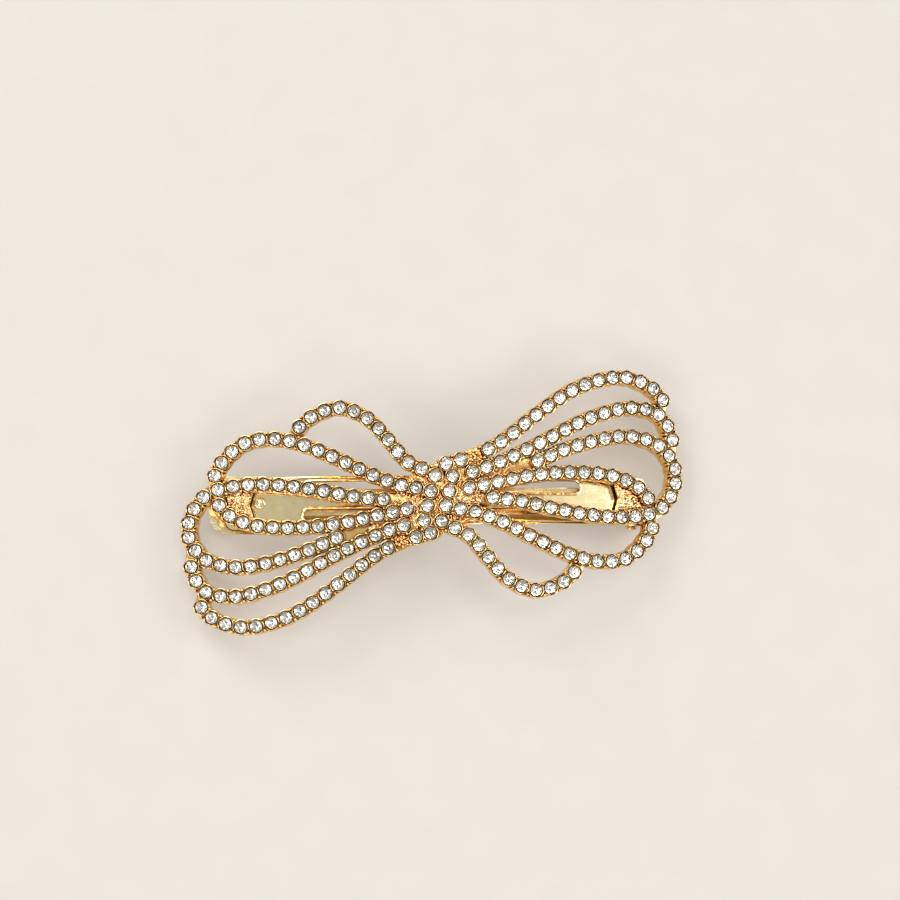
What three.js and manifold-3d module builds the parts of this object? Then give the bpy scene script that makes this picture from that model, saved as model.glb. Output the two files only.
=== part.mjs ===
// Rhinestone bow on a spring barrette. Millimetres, +Z up.
// X runs along the barrette, the arm's flat underside lies on z = 0,
// and the origin is under the middle of the bow.

import * as THREE from "three";
import { TessellateModifier } from "three/addons/modifiers/TessellateModifier.js";
import { mergeVertices } from "three/addons/utils/BufferGeometryUtils.js";
import Module from "manifold-3d";

const wasm = await Module();
wasm.setup();

// ---------- driving dimensions ----------

// Arch that the base plate and the bow follow
const ARCH_RADIUS = 120;
const ARCH_STEP = 4;
const PLATE_TOP = 9.8;
const PLATE_THICKNESS = 0.7;

// Base plate
const PLATE_LEFT = -38.5;
const PLATE_RIGHT = 40;
const LEFT_BEND = -34.6;
const RIGHT_BEND = 32.6;
const PAD_SLOPE = Math.tan(THREE.MathUtils.degToRad(17));
const PLATE_HALF_WIDTH_LEFT = 4.7;
const PLATE_HALF_WIDTH_RIGHT = 4.4;
const SLOT_LEFT = -24.5;
const SLOT_RIGHT = 27;
const SLOT_WIDTH = 2.3;
const SLOT_OFFSET = 2.5;
const SLOT_FLANGE_WALL = 0.35;
const SLOT_FLANGE_DEPTH = 0.4;

// Hinge
const HINGE_X = 37.3;
const HINGE_Z = 1.4;
const PIN_RADIUS = 0.55;
const PIN_HEAD_RADIUS = 0.95;
const PIN_HEAD_LENGTH = 0.4;
const EAR_HOLE_RADIUS = 0.75;
const EAR_THICKNESS = 0.6;
const EAR_LENGTH = 3.8;
const KNUCKLE_RADIUS = 1.4;
const KNUCKLE_BORE = 0.85;

// Clasp arm
const ARM_THICKNESS = 0.8;
const ARM_HALF_WIDTH = 3.1;
const ARM_END = -41.6;
const ARM_STEP_START = -29;
const ARM_STEP_END = -31;
const ARM_STEP_RISE = 1;
const TAB_HALF_WIDTH = 5.4;
const ARM_SLOT = { left: -24, right: 26, width: 2 };
const WINDOW = { left: -36.9, right: -31.9, halfWidth: 3 };

// Tension strip
const STRIP_LEFT = -33.4;
const STRIP_RIGHT = 31.5;
const STRIP_SPAN = 31;
const STRIP_HALF_WIDTH = 2.4;
const STRIP_THICKNESS = 0.35;
const STRIP_SAG = 1.8;
const STRIP_GAP = 0.2;

// Latch
const RIVET_X = -32.2;
const RIVET_RADIUS = 0.7;
const RIVET_HEAD_RADIUS = 1.15;
const RIVET_HEAD_HEIGHT = 0.35;
const RIVET_CLEARANCE = 0.2;
const BRACKET = { left: -36.6, right: -30.6, halfWidth: 3.2, thickness: 0.5 };
const PRONG = { left: -36.2, right: -32.6, y: 2.2, thickness: 0.45, tip: 0.2, hinge: 2.4 };
const BARB = { reach: 0.4, top: 0.75 };
const STACK_GAP = 0.2;

// Bow
const BOW_TURN = THREE.MathUtils.degToRad(-0.9);
const BOW_GAP = 0.8;
const STRAND_WIDTH = 2.9;
const STRAND_HEIGHT = 1.4;
const STRAND_STEP = 3.2;
const SLIM_INSET = 0.1;
const CAP_INSET = 0.1;
const WEB_OUTSET = 0.1;
const LONGEST_BENT_EDGE = 8;

// Stones: six-sided, with two sides along the strand, joined by narrow necks of adhesive
const STONE_RADIUS = 1.15;
const STONE_HEIGHT = 1.2;
const NECK_HALF_WIDTH = 0.35;
const STONE_GAP = 0.3;

// Solder
const SOLDER_HEIGHT = 0.4;
const SOLDER_RADIUS = 1.7;
const SOLDER_X = 36.6;
const SOLDER_Y = 0.3;

// Each strand of one half of the bow. `row` runs from its first stone to its last,
// `lead` and `tail` are where its metal starts and ends, `empty` is a seat with no stone,
// and a `slim` strand passes inside the strands that it meets.
const STRANDS = [
  {
    name: "outer_loop", stones: 18, empty: 2, slim: true,
    lead: [0.6, 6], tail: [42.3, 17.2],
    row: [
      [1.4, 6.4], [6.6, 8], [11.5, 10.6], [18, 15.7], [24.8, 20.5], [30, 22.7], [35.5, 23.5], [40.6, 21.8],
      [42.6, 19.7],
    ],
  },
  {
    name: "second_loop", stones: 17,
    lead: [2.6, 4.1], tail: [44.4, 9.6],
    row: [
      [6.3, 5], [11.6, 7], [19, 10.7], [26.4, 14.7], [31.6, 16.8], [37, 17.9], [42.2, 16.7], [44.5, 12.3],
    ],
  },
  {
    name: "third_loop", stones: 15, slim: true,
    lead: [9, 4.8], tail: [40.2, -2],
    row: [
      [18.4, 7.3], [23.4, 9.5], [31.3, 11.9], [36.6, 12.5], [42, 11], [44.8, 7.5], [44.8, 3.2],
      [42.4, -0.5],
    ],
  },
  {
    name: "leaf_upper", stones: 14,
    lead: [2, 1.4], tail: [40.2, -1.4],
    row: [[5.7, 2], [11.2, 3.3], [19.4, 4.9], [27.5, 5.4], [33, 4.9], [37.2, 3.4], [39.6, 1.1]],
  },
  {
    name: "leaf_lower", stones: 12, slim: true,
    lead: [6, 0.8], tail: [40.4, -1.6],
    row: [[10, 0.3], [15.8, -0.3], [21.3, -1.4], [29.4, -2.5], [34.9, -2.6], [39.8, -1.8]],
  },
  {
    name: "lower_loop", stones: 17,
    lead: [0.4, -0.8], tail: [40.3, -2.4],
    row: [
      [1.4, -1.3], [7.2, -2.5], [12.5, -4.4], [17.5, -6.8], [24.8, -9.9], [30, -11], [35.3, -10.2],
      [39.2, -6.8], [40.4, -4.4],
    ],
  },
  {
    name: "small_loop", stones: 12, slim: true,
    lead: [0.2, -2.5], tail: [26.6, -10.6],
    row: [[0.6, -4.2], [5.6, -6.7], [9.2, -10.7], [12.8, -14.5], [18, -16.6], [23, -15], [25.2, -13.1]],
  },
];

const KNOT_ROW = [[2.6, 4.1], [2, 1.4], [-2, -1.4], [-2.6, -4.1]];

// Solid metal between the strands: half of the knot's outline, and the leaf's tip
const KNOT_WEB_HALF = [[1.4, 7.9], [7, 8.9], [9.5, 7], [12.5, 6], [10, 3], [8, 0], [7, -2.6], [3.5, -5.2]];
const TIP_WEB = [
  [33.4, 4.8], [36.8, 3.8], [39.8, 2.2], [41.5, -0.4], [41.6, -3.4], [39.2, -3.6], [36.8, -3], [33.4, -3],
  [34.8, 1],
];

// ---------- materials ----------

const castGold = new THREE.MeshStandardMaterial({ color: 0xd9a64e, roughness: 0.3, metalness: 1 });
const sheetGold = new THREE.MeshStandardMaterial({ color: 0xe6bb62, roughness: 0.18, metalness: 1 });
const springSteel = new THREE.MeshStandardMaterial({ color: 0xcfa055, roughness: 0.28, metalness: 1 });
const solderMetal = new THREE.MeshStandardMaterial({ color: 0xb9995f, roughness: 0.5, metalness: 0.9 });
const rhinestone = new THREE.MeshStandardMaterial({ color: 0xf2f1ee, roughness: 0.05, metalness: 0.2 });

// ---------- solids ----------

function toSolid(geometry) {
  const bare = geometry.clone();
  bare.deleteAttribute("normal");
  bare.deleteAttribute("uv");
  const merged = mergeVertices(bare, 1e-4);
  return new wasm.Manifold(new wasm.Mesh({
    numProp: 3,
    vertProperties: new Float32Array(merged.attributes.position.array),
    triVerts: new Uint32Array(merged.index.array),
  }));
}

function toGeometry(solid) {
  const mesh = solid.getMesh();
  const geometry = new THREE.BufferGeometry();
  geometry.setAttribute("position", new THREE.BufferAttribute(mesh.vertProperties, 3));
  geometry.setIndex(new THREE.BufferAttribute(mesh.triVerts, 1));
  geometry.computeVertexNormals();
  return geometry;
}

// A plan outline extruded upwards from `bottom` to `top`
function slab(shape, bottom, top) {
  const options = { depth: top - bottom, bevelEnabled: false, curveSegments: 6 };
  return new THREE.ExtrudeGeometry(shape, options).translate(0, 0, bottom);
}

// A side outline drawn in X and Z, extruded across Y
function acrossY(shape, width) {
  const options = { depth: width, bevelEnabled: false, curveSegments: 6 };
  return new THREE.ExtrudeGeometry(shape, options).rotateX(Math.PI / 2).translate(0, width / 2, 0);
}

function rodAcrossY(radius, length, sides = 16) {
  return new THREE.CylinderGeometry(radius, radius, length, sides);
}

function rodAlongZ(radius, bottom, top, sides = 14) {
  const geometry = new THREE.CylinderGeometry(radius, radius, top - bottom, sides);
  return geometry.rotateX(Math.PI / 2).translate(0, 0, (bottom + top) / 2);
}

function rectangle(left, right, low, high) {
  return new THREE.Shape([
    new THREE.Vector2(left, low),
    new THREE.Vector2(right, low),
    new THREE.Vector2(right, high),
    new THREE.Vector2(left, high),
  ]);
}

// A strip with half-round ends
function stadium(left, right, centreY, width) {
  const radius = width / 2;
  const shape = new THREE.Shape();
  shape.absarc(right - radius, centreY, radius, -Math.PI / 2, Math.PI / 2, false);
  shape.absarc(left + radius, centreY, radius, Math.PI / 2, 1.5 * Math.PI, false);
  return shape;
}

// A tapering plate outline with rounded corners
function roundedPlate(left, right, halfLeft, halfRight, corner) {
  const shape = new THREE.Shape();
  shape.absarc(right - corner, -halfRight + corner, corner, -Math.PI / 2, 0, false);
  shape.absarc(right - corner, halfRight - corner, corner, 0, Math.PI / 2, false);
  shape.absarc(left + corner, halfLeft - corner, corner, Math.PI / 2, Math.PI, false);
  shape.absarc(left + corner, -halfLeft + corner, corner, Math.PI, 1.5 * Math.PI, false);
  return shape;
}

// ---------- the arch ----------

// How far the arch has dropped below its crown at x, with flat pads past the bends
function archDrop(x) {
  const bend = THREE.MathUtils.clamp(x, LEFT_BEND, RIGHT_BEND);
  const drop = ARCH_RADIUS - Math.sqrt(ARCH_RADIUS ** 2 - bend ** 2);
  return drop + Math.abs(x - bend) * PAD_SLOPE;
}

function plateTopAt(x) {
  return PLATE_TOP - archDrop(x);
}

function plateUnderAt(x) {
  return plateTopAt(x) - PLATE_THICKNESS;
}

// A side outline between two heights that are functions of x
function archedProfile(left, right, topAt, underAt) {
  const xs = [left, right];
  for (let x = -ARCH_STEP * Math.floor(-LEFT_BEND / ARCH_STEP); x < RIGHT_BEND; x += ARCH_STEP) xs.push(x);
  xs.push(LEFT_BEND, RIGHT_BEND);
  const inside = xs.filter((x) => x >= left && x <= right).sort((a, b) => a - b);
  const under = inside.map((x) => new THREE.Vector2(x, underAt(x)));
  const top = inside.map((x) => new THREE.Vector2(x, topAt(x))).reverse();
  return new THREE.Shape([...under, ...top]);
}

// Bends a flat geometry, whose z is its height above the plate, onto the arch.
// A plan place keeps its x at the height of the strands' tops.
function bendOntoArch(geometry) {
  const position = geometry.attributes.position;
  for (let i = 0; i < position.count; i++) {
    const sine = position.getX(i) / (ARCH_RADIUS + BOW_GAP + STRAND_HEIGHT);
    const cosine = Math.sqrt(1 - sine * sine);
    const reach = ARCH_RADIUS + position.getZ(i);
    position.setX(i, reach * sine);
    position.setZ(i, reach * cosine - ARCH_RADIUS);
  }
  return geometry;
}

// A flat plan outline between two heights above the plate, bent onto the arch.
// Long edges are split first, so that the flat facets stay close to the arch.
function bentSlab(shape, bottom, top) {
  const splitter = new TessellateModifier(LONGEST_BENT_EDGE, 12);
  return bendOntoArch(splitter.modify(slab(shape, bottom, top)));
}

// ---------- bow ----------

function bowPoint([x, y]) {
  return new THREE.Vector2(x, y).rotateAround(new THREE.Vector2(), BOW_TURN);
}

function smoothPath(points) {
  const vectors = points.map(bowPoint).map((p) => new THREE.Vector3(p.x, p.y, 0));
  return new THREE.CatmullRomCurve3(vectors, false, "centripetal");
}

// A flat bar along a strand's path, round at both ends, bent onto the arch
function strandMetal(strand) {
  const path = smoothPath([strand.lead, ...strand.row, strand.tail]);
  const inset = strand.slim ? SLIM_INSET : 0;
  const low = BOW_GAP + inset;
  const high = BOW_GAP + STRAND_HEIGHT - inset;
  const section = rectangle((low - high) / 2, (high - low) / 2, -STRAND_WIDTH / 2, STRAND_WIDTH / 2);
  const steps = Math.ceil(path.getLength() / STRAND_STEP);
  const bar = new THREE.ExtrudeGeometry(section, { steps, extrudePath: path, bevelEnabled: false });
  let solid = toSolid(bendOntoArch(bar.translate(0, 0, (low + high) / 2)));
  for (const end of [path.getPoint(0), path.getPoint(1)]) {
    const disc = rodAlongZ(STRAND_WIDTH / 2 - CAP_INSET, low + CAP_INSET / 2, high - CAP_INSET / 2, 8);
    solid = solid.add(toSolid(bendOntoArch(disc.translate(end.x, end.y, 0))));
  }
  return solid;
}

function web(points) {
  const shape = new THREE.Shape(points.map(bowPoint).reverse());
  return toSolid(bentSlab(shape, BOW_GAP - WEB_OUTSET, BOW_GAP + STRAND_HEIGHT + WEB_OUTSET));
}

function bowFrameGeometry() {
  let half = web(TIP_WEB);
  for (const strand of STRANDS) half = half.add(strandMetal(strand));
  const knot = web([...KNOT_WEB_HALF, ...KNOT_WEB_HALF.map(([x, y]) => [-x, -y])]);
  return toGeometry(half.add(half.rotate([0, 0, 180])).add(knot));
}

// One body: the stones of a row, drawn as a chain of hexagons from its first place to its last
function stoneRow(row, places) {
  const path = smoothPath(row);
  const pitch = path.getLength() * Math.min(...places.slice(1).map((place, i) => place - places[i]));
  const corners = hexagonSide(pitch);
  const right = [];
  const left = [];
  for (const place of places) {
    const centre = path.getPointAt(place);
    const tangent = path.getTangentAt(place);
    for (const [along, out] of corners) {
      const x = centre.x + tangent.x * along;
      const y = centre.y + tangent.y * along;
      right.push(new THREE.Vector2(x + tangent.y * out, y - tangent.x * out));
      left.push(new THREE.Vector2(x - tangent.y * out, y + tangent.x * out));
    }
  }
  const low = BOW_GAP + STRAND_HEIGHT + STONE_GAP;
  const shape = new THREE.Shape([...right, ...left.reverse()]);
  return toGeometry(toSolid(bentSlab(shape, low, low + STONE_HEIGHT)));
}

// One side of a stone and its two necks, as distances along the strand and out from it
function hexagonSide(pitch) {
  const corner = STONE_RADIUS / 2;
  const flat = STONE_RADIUS * Math.cos(Math.PI / 6);
  const neck = Math.min(STONE_RADIUS, pitch / 2 - 0.05);
  return [[-neck, NECK_HALF_WIDTH], [-corner, flat], [corner, flat], [neck, NECK_HALF_WIDTH]];
}

function evenPlaces(count, empty) {
  const places = [];
  for (let i = 0; i < count; i++) {
    if (i !== empty) places.push(i / (count - 1));
  }
  return places;
}

// The knot's stones stand at the ends of its row and at the two bends between them
function knotPlaces() {
  const [x0, y0] = KNOT_ROW[0];
  const [x1, y1] = KNOT_ROW[1];
  const share = Math.hypot(x1 - x0, y1 - y0) / smoothPath(KNOT_ROW).getLength();
  return [0, share, 1 - share, 1];
}

function solderPad(x, y) {
  const low = (BOW_GAP - SOLDER_HEIGHT) / 2;
  const geometry = rodAlongZ(SOLDER_RADIUS, low, low + SOLDER_HEIGHT, 12);
  return bendOntoArch(geometry.translate(x, y, 0));
}

// ---------- barrette ----------

function hingeRod(radius, length) {
  return toSolid(rodAcrossY(radius, length).translate(HINGE_X, 0, HINGE_Z));
}

// A cylinder through the left pad at the rivet, square to the pad
function rivetHole() {
  const hole = rodAlongZ(RIVET_RADIUS + RIVET_CLEARANCE, -5, 5);
  return toSolid(hole.rotateY(-Math.atan(PAD_SLOPE)).translate(RIVET_X, 0, plateUnderAt(RIVET_X)));
}

function basePlateGeometry() {
  const high = PLATE_TOP + 1;
  const profile = archedProfile(PLATE_LEFT, PLATE_RIGHT, plateTopAt, plateUnderAt);
  const outline = roundedPlate(PLATE_LEFT, PLATE_RIGHT, PLATE_HALF_WIDTH_LEFT, PLATE_HALF_WIDTH_RIGHT, 1.6);
  let plate = toSolid(acrossY(profile, 12)).intersect(toSolid(slab(outline, -1, high)));

  const flangeUnder = (x) => plateUnderAt(x) - SLOT_FLANGE_DEPTH;
  const flangeProfile = archedProfile(SLOT_LEFT - 1, SLOT_RIGHT + 1, plateTopAt, flangeUnder);
  const flangeBody = toSolid(acrossY(flangeProfile, 12));
  for (const side of [-1, 1]) {
    const rimLeft = SLOT_LEFT - SLOT_FLANGE_WALL;
    const rimRight = SLOT_RIGHT + SLOT_FLANGE_WALL;
    const rim = stadium(rimLeft, rimRight, side * SLOT_OFFSET, SLOT_WIDTH + 2 * SLOT_FLANGE_WALL);
    plate = plate.add(flangeBody.intersect(toSolid(slab(rim, -1, high))));
  }
  for (const side of [-1, 1]) {
    const slot = stadium(SLOT_LEFT, SLOT_RIGHT, side * SLOT_OFFSET, SLOT_WIDTH);
    plate = plate.subtract(toSolid(slab(slot, -1, high)));
  }
  for (const side of [-1, 1]) plate = plate.add(hingeEar(side));
  return toGeometry(plate.subtract(hingeRod(EAR_HOLE_RADIUS, 12)).subtract(rivetHole()));
}

// A lug folded down from the plate's edge to carry the hinge pin
function hingeEar(side) {
  const half = EAR_LENGTH / 2;
  const shape = new THREE.Shape();
  shape.moveTo(HINGE_X + half, HINGE_Z);
  shape.lineTo(HINGE_X + half, plateTopAt(HINGE_X + half) - 0.1);
  shape.lineTo(HINGE_X - half, plateTopAt(HINGE_X - half) - 0.1);
  shape.lineTo(HINGE_X - half, HINGE_Z);
  shape.lineTo(HINGE_X - half + 0.6, 0.2);
  shape.lineTo(HINGE_X + half - 0.6, 0.2);
  const centre = side * (PLATE_HALF_WIDTH_RIGHT - EAR_THICKNESS / 2);
  return toSolid(acrossY(shape, EAR_THICKNESS).translate(0, centre, 0));
}

function hingePinGeometry() {
  const reach = PLATE_HALF_WIDTH_RIGHT + 0.15;
  let pin = toSolid(rodAcrossY(PIN_RADIUS, 2 * reach + PIN_HEAD_LENGTH));
  for (const side of [-1, 1]) {
    const middle = side * (reach + PIN_HEAD_LENGTH / 2);
    pin = pin.add(toSolid(rodAcrossY(PIN_HEAD_RADIUS, PIN_HEAD_LENGTH).translate(0, middle, 0)));
  }
  return toGeometry(pin);
}

// Side outline of the arm: flat, then stepped up to the latch end
function armProfile() {
  const points = [
    [HINGE_X, 0], [HINGE_X, ARM_THICKNESS],
    [ARM_STEP_START, ARM_THICKNESS], [ARM_STEP_END, ARM_THICKNESS + ARM_STEP_RISE],
    [ARM_END, ARM_THICKNESS + ARM_STEP_RISE], [ARM_END, ARM_STEP_RISE],
    [ARM_STEP_END, ARM_STEP_RISE], [ARM_STEP_START, 0],
  ];
  return new THREE.Shape(points.map(([x, z]) => new THREE.Vector2(x, z)));
}

// Plan outline of the arm: a strip that widens into a rounded thumb tab
function armOutline() {
  const shape = new THREE.Shape();
  shape.moveTo(HINGE_X, -ARM_HALF_WIDTH);
  shape.lineTo(HINGE_X, ARM_HALF_WIDTH);
  shape.lineTo(ARM_STEP_START, ARM_HALF_WIDTH);
  shape.quadraticCurveTo(ARM_STEP_END, ARM_HALF_WIDTH, ARM_STEP_END, TAB_HALF_WIDTH);
  shape.lineTo(ARM_END + 3, TAB_HALF_WIDTH);
  shape.quadraticCurveTo(ARM_END, TAB_HALF_WIDTH, ARM_END, 0);
  shape.quadraticCurveTo(ARM_END, -TAB_HALF_WIDTH, ARM_END + 3, -TAB_HALF_WIDTH);
  shape.lineTo(ARM_STEP_END, -TAB_HALF_WIDTH);
  shape.quadraticCurveTo(ARM_STEP_END, -ARM_HALF_WIDTH, ARM_STEP_START, -ARM_HALF_WIDTH);
  return shape;
}

function claspArmGeometry() {
  const outline = armOutline();
  outline.holes.push(stadium(ARM_SLOT.left, ARM_SLOT.right, 0, ARM_SLOT.width));
  outline.holes.push(rectangle(WINDOW.left, WINDOW.right, -WINDOW.halfWidth, WINDOW.halfWidth));
  const sheet = toSolid(acrossY(armProfile(), 12)).intersect(toSolid(slab(outline, -1, 5)));
  const knuckle = hingeRod(KNUCKLE_RADIUS, 2 * ARM_HALF_WIDTH);
  return toGeometry(sheet.add(knuckle).subtract(hingeRod(KNUCKLE_BORE, 12)));
}

function stripTopAt(x) {
  const share = THREE.MathUtils.clamp(x / STRIP_SPAN, -1, 1);
  return plateUnderAt(x) - STRIP_GAP - STRIP_SAG * (1 - share * share);
}

function stripUnderAt(x) {
  return stripTopAt(x) - STRIP_THICKNESS;
}

function tensionStripGeometry() {
  const profile = archedProfile(STRIP_LEFT, STRIP_RIGHT, stripTopAt, stripUnderAt);
  const outline = roundedPlate(STRIP_LEFT, STRIP_RIGHT, STRIP_HALF_WIDTH, STRIP_HALF_WIDTH, 1.2);
  const strip = toSolid(acrossY(profile, 8)).intersect(toSolid(slab(outline, 0, PLATE_TOP)));
  return toGeometry(strip.subtract(rivetHole()));
}

function bracketTopAt(x) {
  return plateUnderAt(x) - STRIP_GAP - STRIP_THICKNESS - STACK_GAP;
}

function bracketUnderAt(x) {
  return bracketTopAt(x) - BRACKET.thickness;
}

function latchBracketGeometry() {
  const profile = archedProfile(BRACKET.left, BRACKET.right, bracketTopAt, bracketUnderAt);
  const outline = roundedPlate(BRACKET.left, BRACKET.right, BRACKET.halfWidth, BRACKET.halfWidth, 0.8);
  const body = toSolid(acrossY(profile, 8)).intersect(toSolid(slab(outline, 0, PLATE_TOP)));
  return toGeometry(body.subtract(rivetHole()));
}

// One spring leg of the latch, with a barb that points outwards; local +Y is outwards
function latchProngGeometry() {
  const { left, right, thickness, tip, hinge } = PRONG;
  const side = new THREE.Shape([
    new THREE.Vector2(left, tip - hinge),
    new THREE.Vector2(right, tip - hinge),
    new THREE.Vector2(right, bracketUnderAt(right) - STACK_GAP - hinge),
    new THREE.Vector2(left, bracketUnderAt(left) - STACK_GAP - hinge),
  ]);
  const barbSection = new THREE.Shape([
    new THREE.Vector2(0, tip - hinge),
    new THREE.Vector2(thickness / 2 + BARB.reach / 4, tip - hinge),
    new THREE.Vector2(thickness / 2 + BARB.reach, BARB.top - hinge - 0.2),
    new THREE.Vector2(thickness / 2 + BARB.reach, BARB.top - hinge),
    new THREE.Vector2(0, BARB.top - hinge),
  ]);
  const length = right - left - 1;
  const barb = new THREE.ExtrudeGeometry(barbSection, { depth: length, bevelEnabled: false });
  barb.rotateX(Math.PI / 2).rotateZ(Math.PI / 2).translate((left + right - length) / 2, 0, 0);
  return toGeometry(toSolid(acrossY(side, thickness)).add(toSolid(barb)));
}

function latchRivetGeometry() {
  const shankBottom = bracketUnderAt(RIVET_X) - plateUnderAt(RIVET_X) - STACK_GAP;
  const shankTop = PLATE_THICKNESS + STACK_GAP;
  const shank = toSolid(rodAlongZ(RIVET_RADIUS, shankBottom, shankTop));
  const dome = new THREE.LatheGeometry([
    new THREE.Vector2(0, 0),
    new THREE.Vector2(RIVET_HEAD_RADIUS, 0),
    new THREE.Vector2(0.7 * RIVET_HEAD_RADIUS, RIVET_HEAD_HEIGHT),
    new THREE.Vector2(0, RIVET_HEAD_HEIGHT),
  ], 14).rotateX(Math.PI / 2);
  const upper = toSolid(dome.clone().translate(0, 0, shankTop - 0.02));
  const lower = toSolid(dome.rotateX(Math.PI).translate(0, 0, shankBottom + 0.02));
  return toGeometry(shank.add(upper).add(lower));
}

// ---------- assembly ----------

function piece(name, geometry, material) {
  const mesh = new THREE.Mesh(geometry, material);
  mesh.name = name;
  return mesh;
}

function buildBow() {
  const bow = new THREE.Group();
  bow.position.z = PLATE_TOP;
  bow.add(piece("bow_frame", bowFrameGeometry(), castGold));
  bow.add(piece("stones_knot", stoneRow(KNOT_ROW, knotPlaces()), rhinestone));
  for (const [side, turn] of [["right", 0], ["left", Math.PI]]) {
    const half = new THREE.Group();
    half.rotation.z = turn;
    for (const strand of STRANDS) {
      const geometry = stoneRow(strand.row, evenPlaces(strand.stones, strand.empty));
      half.add(piece(`stones_${strand.name}_${side}`, geometry, rhinestone));
    }
    half.add(piece(`solder_${side}`, solderPad(SOLDER_X, SOLDER_Y), solderMetal));
    bow.add(half);
  }
  bow.add(piece("solder_knot", solderPad(0, 0), solderMetal));
  return bow;
}

function buildBarrette() {
  const barrette = new THREE.Group();
  barrette.add(piece("base_plate", basePlateGeometry(), sheetGold));
  barrette.add(piece("tension_strip", tensionStripGeometry(), springSteel));
  barrette.add(piece("latch_bracket", latchBracketGeometry(), springSteel));
  barrette.add(piece("clasp_arm", claspArmGeometry(), sheetGold));

  const pin = piece("hinge_pin", hingePinGeometry(), sheetGold);
  pin.position.set(HINGE_X, 0, HINGE_Z);
  barrette.add(pin);

  const rivet = piece("latch_rivet", latchRivetGeometry(), sheetGold);
  rivet.position.set(RIVET_X, 0, plateUnderAt(RIVET_X));
  rivet.rotation.y = -Math.atan(PAD_SLOPE);
  barrette.add(rivet);

  const backProng = piece("latch_prong_back", latchProngGeometry(), springSteel);
  backProng.position.set(0, PRONG.y, PRONG.hinge);
  barrette.add(backProng);

  const frontProng = piece("latch_prong_front", mirroredAcrossY(latchProngGeometry()), springSteel);
  frontProng.position.set(0, -PRONG.y, PRONG.hinge);
  barrette.add(frontProng);
  return barrette;
}

// The front leg is the mirror image of the back one, with its faces still pointing out
function mirroredAcrossY(geometry) {
  return toGeometry(toSolid(geometry).mirror([0, 1, 0]));
}

const clip = new THREE.Group();
clip.add(buildBow());
clip.add(buildBarrette());

export default clip;
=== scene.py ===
"""Looks of the rhinestone bow barrette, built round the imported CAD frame."""

import math
import random

import bmesh
import bpy
from mathutils import Matrix, Quaternion, Vector, noise


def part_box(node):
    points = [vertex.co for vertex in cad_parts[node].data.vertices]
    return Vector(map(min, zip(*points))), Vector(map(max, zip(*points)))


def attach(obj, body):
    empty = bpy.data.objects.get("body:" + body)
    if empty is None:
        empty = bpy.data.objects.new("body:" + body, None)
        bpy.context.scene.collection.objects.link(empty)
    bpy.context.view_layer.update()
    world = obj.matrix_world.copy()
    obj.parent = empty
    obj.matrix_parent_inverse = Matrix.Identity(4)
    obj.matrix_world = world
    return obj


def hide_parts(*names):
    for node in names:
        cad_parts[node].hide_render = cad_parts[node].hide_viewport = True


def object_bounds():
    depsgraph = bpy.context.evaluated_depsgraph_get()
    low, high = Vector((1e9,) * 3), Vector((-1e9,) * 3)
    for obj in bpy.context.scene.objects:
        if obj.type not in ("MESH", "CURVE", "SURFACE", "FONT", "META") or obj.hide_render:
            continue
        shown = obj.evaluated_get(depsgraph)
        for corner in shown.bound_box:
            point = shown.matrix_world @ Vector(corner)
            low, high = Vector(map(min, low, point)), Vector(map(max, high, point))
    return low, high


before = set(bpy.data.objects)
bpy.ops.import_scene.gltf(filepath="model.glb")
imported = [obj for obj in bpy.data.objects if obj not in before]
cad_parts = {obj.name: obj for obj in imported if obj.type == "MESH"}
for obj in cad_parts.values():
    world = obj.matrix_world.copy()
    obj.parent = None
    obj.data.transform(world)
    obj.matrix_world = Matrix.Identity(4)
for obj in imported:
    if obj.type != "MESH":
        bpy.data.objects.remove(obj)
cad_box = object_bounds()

MM = 0.001
random.seed(7)

# ---------- the arch and the levels that the bow follows, in millimetres ----------

ARCH_RADIUS = 120
BOW_TURN = math.radians(-0.9)
STRAND_WIDTH = 2.9
STRAND_THICKNESS = 1.35
STONE_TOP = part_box("stones_knot")[1].z / MM
SOLDER_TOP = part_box("solder_knot")[1].z / MM
PLATE_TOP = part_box("base_plate")[1].z / MM
SOLDER_GAP = 0.15
UNDERSIDE = SOLDER_TOP - PLATE_TOP + SOLDER_GAP
SEAT = UNDERSIDE + STRAND_THICKNESS
# A plan place is true at this height over the plate. It spreads outwards above it and draws in below.
PLAN_LEVEL = UNDERSIDE + 1.45
ARCH_SCALE = ARCH_RADIUS + PLAN_LEVEL

# ---------- stones ----------

STONE_RADIUS = 1.13
CROWN_HEIGHT = 0.62
TABLE_RADIUS = 0.62
GIRDLE_HEIGHT = 0.12
PAVILION_DEPTH = 0.74
GIRDLE_LEVEL = STONE_TOP - PLATE_TOP - CROWN_HEIGHT - 0.05

# ---------- the bow's strands ----------

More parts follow.
